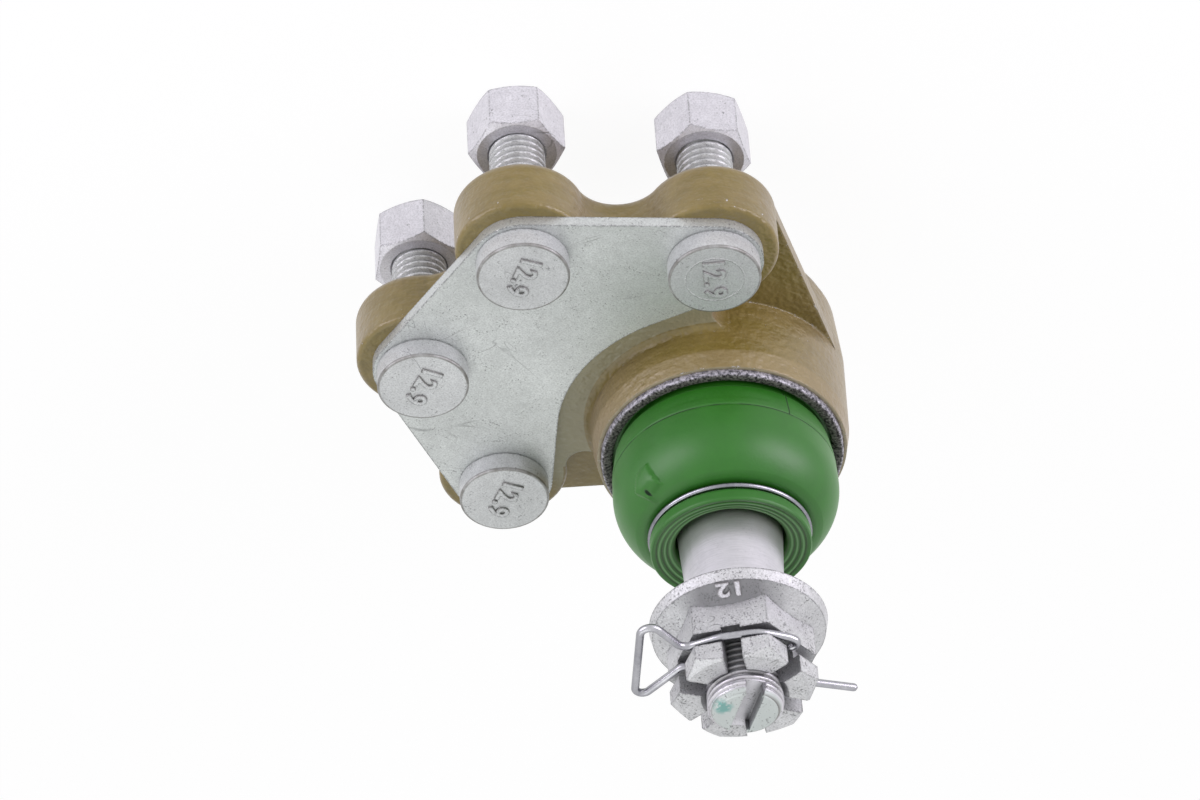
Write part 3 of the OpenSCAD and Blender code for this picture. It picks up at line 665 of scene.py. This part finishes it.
def bolt_piece(name, centre, seed):
    """A bolt turned from its outline: pointed end, thread whose radius follows a trapezium wave of
    height less turn, plain shank, and a flat round head with a softened rim. It is marked darker in
    the roots of the thread and, in uneven strength round the circle, worn on the rim of the head."""
    columns = 72
    turn = turns(columns)
    z = np.arange(BOLT_END_Z + 0.02, 1.2, 0.125)[:, None]
    depth = thread_depth(z, BOLT_PITCH, turn)
    crest = np.minimum(6.0, 4.9 + (z - BOLT_END_Z) * 0.9)
    cut = np.minimum(crest, 5.98 - 0.95 * depth * step(1.2 - z, 0.0, 0.8))
    side = [[5.95, 1.4], [5.95, 15.9], [6.1, PLATE_TOP_Z], [9.55, PLATE_TOP_Z], [9.75, 16.4],
            [9.75, 20.4], [9.75, 20.6]]
    bend = np.radians(np.array([0, 25, 50, 70, 90]))
    rim = np.stack([9.35 + 0.4 * np.cos(bend), 20.7 + 0.4 * np.sin(bend)], -1)
    ring_line = 0.07 if name == "bolt_near_1" else 0.0
    top = [[9.15, HEAD_TOP_Z], [6.4, HEAD_TOP_Z], [6.3, HEAD_TOP_Z],
           [6.15, HEAD_TOP_Z + ring_line], [6.0, HEAD_TOP_Z], [5.9, HEAD_TOP_Z],
           [4.0, HEAD_TOP_Z]]
    rest = np.concatenate([side, rim, top])
    radius = np.concatenate([cut, np.repeat(rest[:, :1], columns, 1)])
    height = np.concatenate([np.repeat(z, columns, 1), np.repeat(rest[:, 1:], columns, 1)])
    on_rim = np.zeros((len(rest), 1))
    on_rim[len(side) - 1:len(side) + len(rim)] = 1
    burr = np.clip(0.75 + 0.4 * ripple(turn, np.array([3, 7, 11, 16, 23, 31]), seed), 0.3, 1.0)
    wear_and_shade = np.concatenate([0.55 * depth * np.ones_like(cut), on_rim * burr])
    piece = turned_piece(name + "_turned", radius, height, bolt_zinc, centre, wear_and_shade=wear_and_shade)
    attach(piece, "housing_unit")
    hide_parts(name)


def raised_mark(name, words, length, tall, material, matrix, body, thick=0.26):
    """Raised strokes of a mark: flat outline letters given a thickness, turned into a mesh, spread
    over the mark's own length and height and put in place, with painted shade on the sides and foot
    of each stroke."""
    curve = bpy.data.curves.new(name, "FONT")
    curve.body, curve.size, curve.extrude = words, tall * 1.4 * MM, thick * MM
    curve.bevel_depth, curve.offset, curve.space_character = 0.12 * MM, 0.14 * MM, 1.12
    flat = add_object(name + "_flat", curve)
    depsgraph = bpy.context.evaluated_depsgraph_get()
    mesh = bpy.data.meshes.new_from_object(flat.evaluated_get(depsgraph))
    bpy.data.objects.remove(flat)
    corners = np.empty(len(mesh.vertices) * 3)
    mesh.vertices.foreach_get("co", corners)
    corners = corners.reshape(-1, 3)
    low, high = corners.min(0), corners.max(0)
    # Painted shade: every point below the top of the strokes is marked to be darkened.
    keep_wear_and_shade(mesh, np.where(corners[:, 2] < 0.99 * high[2], 0.8, 0.0))
    size, middle = high - low, (low + high) / 2
    fit = Matrix.Diagonal((length * MM / size[0], tall * MM / size[1], 1, 1))
    mesh.transform(matrix @ fit @ Matrix.Translation((-middle[0], -middle[1], 0)))
    mesh.materials.clear()
    mesh.materials.append(material)
    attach(add_object(name, mesh), body)


for name, (centre, mark_turn, seed) in BOLTS.items():
    bolt_piece(name, centre, seed)
    middle = Matrix.Translation(Vector((*centre, HEAD_TOP_Z + 0.02)) * MM)
    raised_mark(name.replace("bolt", "class_mark"), "12.9", 10.6, 5.0, bolt_zinc,
                middle @ Matrix.Rotation(np.radians(mark_turn), 4, "Z"), "housing_unit")


# Thread of the pin, clip, and mark of the castle nut


def pin_thread():
    """Thread of the pin: crests that stand out of the solid as a trapezium wave of height less
    turn, sunk into it beside the cross hole and in the end slot."""
    columns = 240
    turn = turns(columns)
    z = np.arange(BALL_Z + 76.4, BALL_Z + 88.75, 0.11)[:, None]
    depth = thread_depth(z, PIN_PITCH, turn)
    crest = np.minimum(7.98 - 0.85 * depth, 6.45 + (BALL_Z + 89 - z) * 0.95)
    across_slot = np.abs(8 * np.sin(turn - np.radians(SLOT_TURN))) < 2.2
    across_hole = np.abs(8 * np.sin(turn - np.radians(CLIP_TURN))) < 2.1
    sunk = (across_slot & (z > SLOT_FOOT_Z)) | (across_hole & (np.abs(z - CLIP_Z) < 2.1))
    crest = np.where(sunk, np.minimum(7.1, crest - 0.3), crest)
    foot, *inner = [np.full((1, columns), r) for r in (7.1, 6.0, 5.8, 6.9)]
    radius = np.concatenate([foot, crest, *inner])
    height = np.concatenate([z[:1] - 0.1, z, z[-1:] + 0.03, z[-1:], z[:1]]) * np.ones(columns)
    height = np.where(across_slot, np.minimum(height, SLOT_FOOT_Z), height)
    wear_and_shade = np.concatenate([depth[:1] * 0, depth, depth[:3] * 0])
    return turned_piece("pin_thread", radius, height, pin_steel, loop=True, place=leaned,
                        wear_and_shade=wear_and_shade)


def clip_line():
    """Centre line of the clip: straights between its corners, each corner replaced by an arc of its
    bend radius that touches both straights."""
    leg_x, leg_y = np.cos(np.radians(CLIP_TURN)), np.sin(np.radians(CLIP_TURN))
    corners = [(-24.9 * leg_x, -24.9 * leg_y, 0), (13.05 * leg_x, 13.05 * leg_y, 2),
               (14.2, 19.2, 1.6), (28.6, -4.4, 2.1), (15.6, -0.5, 2.6), (11, -7.5, 9),
               (5.1, -13, 9), (-1.5, -14.7, 5), (-5, -14.4, 1.3), (-2.9, -11.6, 0)]
    line = [np.array(corners[0][:2])]
    for before, (x, y, bend), after in zip(corners, corners[1:], corners[2:]):
        here = np.array([x, y])
        a, b = (np.array(p[:2]) - here for p in (before, after))
        a, b = a / np.hypot(*a), b / np.hypot(*b)
        half = np.arccos(np.dot(a, b)) / 2
        middle = here + (a + b) / np.hypot(*(a + b)) * bend / np.sin(half)
        start = here + a * bend / np.tan(half) - middle
        end = here + b * bend / np.tan(half) - middle
        first = np.arctan2(start[1], start[0])
        swing = (np.arctan2(end[1], end[0]) - first + np.pi) % (2 * np.pi) - np.pi
        angles = first + swing * np.linspace(0, 1, 14)
        line += list(middle + bend * np.stack([np.cos(angles), np.sin(angles)], -1))
    line.append(np.array(corners[-1][:2]))
    line = resample(np.array(line), 0.35)
    return np.column_stack([line, np.full(len(line), CLIP_Z)])


def castle_mark():
    """The raised figures on the sloping flange of the castle nut."""
    around, out, z = np.radians(-46), 16.4, 75.0
    spot = leaned(np.array([[out * np.cos(around), out * np.sin(around), z]]))[0]
    turn = Matrix.Rotation(around + np.pi / 2, 4, "Z") @ Matrix.Rotation(np.radians(30), 4, "X")
    place = Matrix.Translation(Vector(spot) * MM) @ turn
    raised_mark("nut_size_mark", "12", 5.2, 3.3, nut_zinc, place, "stud", 0.4)


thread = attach(pin_thread(), "stud")
clip = tube_piece("bent_clip", clip_line(), 1.7, clip_wire, leaned)
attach(clip, "stud")
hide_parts("locking_clip")


# Boot and its ring


def rolled_ring():
    """Rolled retaining ring: an angle section whose inner lip is torn into fine teeth and whose
    crest wavers, both as sums of sines round the circle."""
    turn = turns(1080)
    teeth = ripple(turn, np.arange(90, 260, 17), 4)
    waver = ripple(turn, np.array([5, 9, 14, 23, 37]), 9)
    outline = np.array([[24.62, RING_FOOT_Z], [26.05, RING_FOOT_Z], [26.08, 24.7], [26.08, 25.7],
                        [25.8, 26.02], [25.2, 26.1], [24.5, 25.95], [23.9, 25.7], [23.6, 25.3],
                        [23.7, 24.95], [24.3, 24.85], [24.62, 24.7]])
    outline = resample(np.vstack([outline, outline[:1]]), 0.5)[:-1]
    r, z = outline[:, :1], outline[:, 1:]
    inner = step(r, 24.9, 23.7) * step(z, 24.6, 25.2)
    crest = step(z, 25.2, 26.0)
    radius = r + inner * (0.22 * teeth + 0.12 * waver)
    height = z + crest * (0.10 * waver + 0.10 * teeth)
    return turned_piece("rolled_ring", radius, height, ring_zinc, loop=True, crease=60)


def boot_lean(points):
    """The boot leans about the middle of its foot, fully from 40 mm up and not at all at its
    foot."""
    full = leaned(points, BOOT_PIVOT_Z, BOOT_LEAN)
    share = step(points[:, 2], 25.0, 40.0)[:, None]
    return points * (1 - share) + full * share


def boot_wall(z, depth):
    """Radius of the boot's wall at a height, that deep below its outer face: an arc of 50 mm below
    the widest place, and a tighter one of 13 mm above it."""
    widest_r, widest_z = 24.2, 36
    arc = np.where(z < widest_z, 50, 13)
    reach = np.clip((arc - depth) ** 2 - (z - widest_z) ** 2, 0, None)
    return widest_r - arc + np.sqrt(reach)


def boot_side(z, depth):
    """The boot's wall at each height, as points of an outline."""
    return np.column_stack([boot_wall(z, depth), z])


def boot_shell(name, outline):
    """One half of the boot turned from a closed outline. Its outer face is pushed out by the vent's
    five cornered pip, which rises with the distance inside its border, and by the bead under the
    parting line, and pushed in by the line itself and the vent's hole."""
    columns = 432
    turn = turns(columns)
    r, z = outline[:, :1], outline[:, 1:]
    outer = np.abs(r - boot_wall(z, 0)) < 0.05
    bead = 0.08 * step(z, PARTING_Z, 31.4) * step(z, 29.5, 30.5)
    parting = bead - 0.12 * bump(z, PARTING_Z, 0.16)
    vent_turn, vent_r = np.radians(-2), 22.0
    around = vent_r * ((turn - vent_turn + np.pi) % (2 * np.pi) - np.pi)
    corners = np.array([(-2.7, 39.6), (0.8, 40.3), (3.3, 43.6), (1.2, 46.0), (-3.9, 44.8)])
    inside = np.full((len(r), columns), 9.0)
    for (x, y), (x2, y2) in zip(corners, np.roll(corners, -1, 0)):
        border = ((x2 - x) * (z - y) - (y2 - y) * (around - x)) / np.hypot(x2 - x, y2 - y)
        inside = np.minimum(inside, border)
    pip = np.clip(inside / 0.4, 0, 1) * (0.5 + 0.8 * step(z, 40.0, 45.0))
    pip = pip + np.clip(inside, 0, 1.5) * 0.3 - bump(around, 0, 0.4) * bump(z, VENT_Z, 0.4)
    radius = r + outer * (parting + pip)
    grooves = bump(r, np.array([15.9, 14.7, 13.5, 12.2]), 0.2).max(1, keepdims=True)
    ridges = bump(r, np.array([15.4, 14.1, 13.0]), 0.16).max(1, keepdims=True)
    # Painted shade in the lip's grooves and painted light on its ridges.
    wear_and_shade = (z > 49.2) * (grooves - ridges)
    piece = turned_piece(name, radius, z * np.ones(columns), rubber, loop=True, place=boot_lean,
                         crease=50, wear_and_shade=wear_and_shade)
    unrolled = np.stack(np.broadcast_arrays(around, z, 0.0), -1).astype(np.float32)
    kept_places = piece.data.attributes.new("unrolled", "FLOAT_VECTOR", "POINT")
    kept_places.data.foreach_set("vector", unrolled.ravel())
    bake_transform(piece)
    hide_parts("dust_boot")


def boot():
    """The boot in two shells that meet at one ring: foot and lower bulge, then shoulder, neck
    groove and ridged lip."""
    join = np.vstack([boot_side(np.array([BOOT_JOIN_Z]), depth) for depth in (0, BOOT_WALL)])
    foot = np.array([[21.0, 24.3], [20.5, 24.0], [20.5, 21.7], [24.1, 21.7], [24.1, 24.0],
                     [22.7, 24.3], [22.6, 25.9]])
    low_z = np.arange(26.6, BOOT_JOIN_Z, 0.22)
    outside, inside = boot_side(low_z, 0), boot_side(low_z, BOOT_WALL)[::-1]
    foot = resample(np.vstack([foot, outside[:1]]), 0.5)[:-1]
    boot_shell("boot_bulge", np.vstack([foot, outside, join, inside]))
    turn_in = np.array([[18.9, 46.1], [18.3, 46.32], [16.6, 46.35], [16.3, 46.6], [16.3, 48.0],
                        [16.5, 48.2]])
    lip = np.array([[17.0, 48.25], [17.2, 48.5], [17.2, 50.7], [16.9, 51.05], [16.3, 51.0],
                    [15.9, 50.7], [15.5, 50.9], [15.1, 50.85], [14.7, 50.45], [14.3, 50.6],
                    [13.9, 50.5], [13.5, 50.1], [13.1, 50.2], [12.7, 50.05], [12.2, 49.7],
                    [11.9, 49.3], [11.9, 44.0], [12.6, 43.2]])
    outside = boot_side(np.arange(BOOT_JOIN_Z, 45.9, 0.2), 0)
    cavity = boot_side(np.arange(42.9, BOOT_JOIN_Z, -0.3), BOOT_WALL)
    upper = np.vstack([outside, resample(turn_in, 0.4), resample(lip, 0.4), cavity, join[1:]])
    boot_shell("boot_shoulder", upper)


ring = rolled_ring()
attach(ring, "housing_unit")
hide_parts("boot_retaining_ring")
boot()
castle_mark()


# Floor, light and camera


def seen(tree):
    """1 for what the camera sees, straight, by reflection or through glass, and 0 for the rest."""
    path = tree.nodes.new("ShaderNodeLightPath").outputs
    return most(tree, path["Is Camera Ray"], path["Is Glossy Ray"], path["Is Transmission Ray"])


def floor():
    """A large plain floor under the bolt ends: to the camera it is nearly white, and it keeps part
    of the shadow that falls on it. From below it isn't there."""
    reach, z = 6, (BOLT_END_Z - 0.1) * MM
    mesh = bpy.data.meshes.new("floor")
    corners = [(-reach, -reach, z), (reach, -reach, z), (reach, reach, z), (-reach, reach, z)]
    mesh.from_pydata(corners, [], [(0, 1, 2, 3)])
    material = bpy.data.materials.new("floor_white")
    material.use_nodes = True
    material.cycles.emission_sampling = "NONE"
    tree = material.node_tree
    tree.nodes.clear()
    pale = put(tree, "BsdfDiffuse", (0.8, 0.8, 0.8))
    bright = put(tree, "Emission", (1.0, 1.0, 1.0), 1.08)
    surface = put(tree, "MixShader", times(tree, seen(tree), 0.86), pale, bright)
    from_below = put(tree, "NewGeometry", out=6)
    surface = put(tree, "MixShader", from_below, surface, put(tree, "BsdfTransparent"))
    put(tree, "OutputMaterial", surface, out=None)
    mesh.materials.append(material)
    add_object("floor", mesh)


def surroundings():
    """White surroundings for the camera and for reflections, and a plain even light for the
    rest."""
    world = bpy.data.worlds.new("pale_room")
    bpy.context.scene.world = world
    world.use_nodes = True
    tree = world.node_tree
    tree.nodes.clear()
    strength = spread(tree, seen(tree), 0.0, 1.0, 0.32, 1.0)
    put(tree, "OutputWorld", put(tree, "Background", (1.0, 1.0, 1.0), strength), out=None)


# Directions of the photograph's frame, and the middle of the part, in metres
RIGHT = Vector((-0.825237, -0.562748, 0.047949))
UP = Vector((0.359255, -0.588537, -0.724266))
BACK = Vector((0.435799, -0.580465, 0.687852))
EYE = Vector((0.494190, -0.615848, 0.754253))
MIDDLE = Vector((0.020, 0.0, 0.030))


def lamp(name, side, up, back, distance, size, power, colour):
    """A square lamp placed by how far it is to the camera's right, up and back, and aimed at the
    part."""
    light = bpy.data.lights.new(name, "AREA")
    light.size, light.energy, light.color = size, power, colour
    at = MIDDLE + (RIGHT * side + UP * up + BACK * back).normalized() * distance
    aim = (at - MIDDLE).to_track_quat("Z", "Y").to_matrix().to_4x4()
    add_object(name, light).matrix_world = Matrix.Translation(at) @ aim


def camera():
    """Long lens that looks down on the part from the side of its cup, rolled as the photograph
    is."""
    lens = bpy.data.cameras.new("camera")
    lens.lens, lens.sensor_width, lens.clip_start = 150.0, 36.0, 0.01
    eye = add_object("camera", lens)
    eye.matrix_world = Matrix.Translation(EYE) @ Matrix((RIGHT, UP, BACK)).transposed().to_4x4()
    bpy.context.scene.camera = eye


floor()
surroundings()
lamp("left_box", -0.9, 0.4, 0.38, 1.0, 0.9, 11.0, (1.0, 0.92, 1.06))
lamp("right_box", 0.9, 0.45, 0.4, 1.0, 0.9, 12.2, (1.0, 0.91, 1.04))
lamp("overhead_box", -0.35, -0.8, 0.45, 1.1, 0.8, 1.5, (0.97, 1.0, 0.98))
camera()
bpy.context.scene.view_settings.view_transform = "Standard"
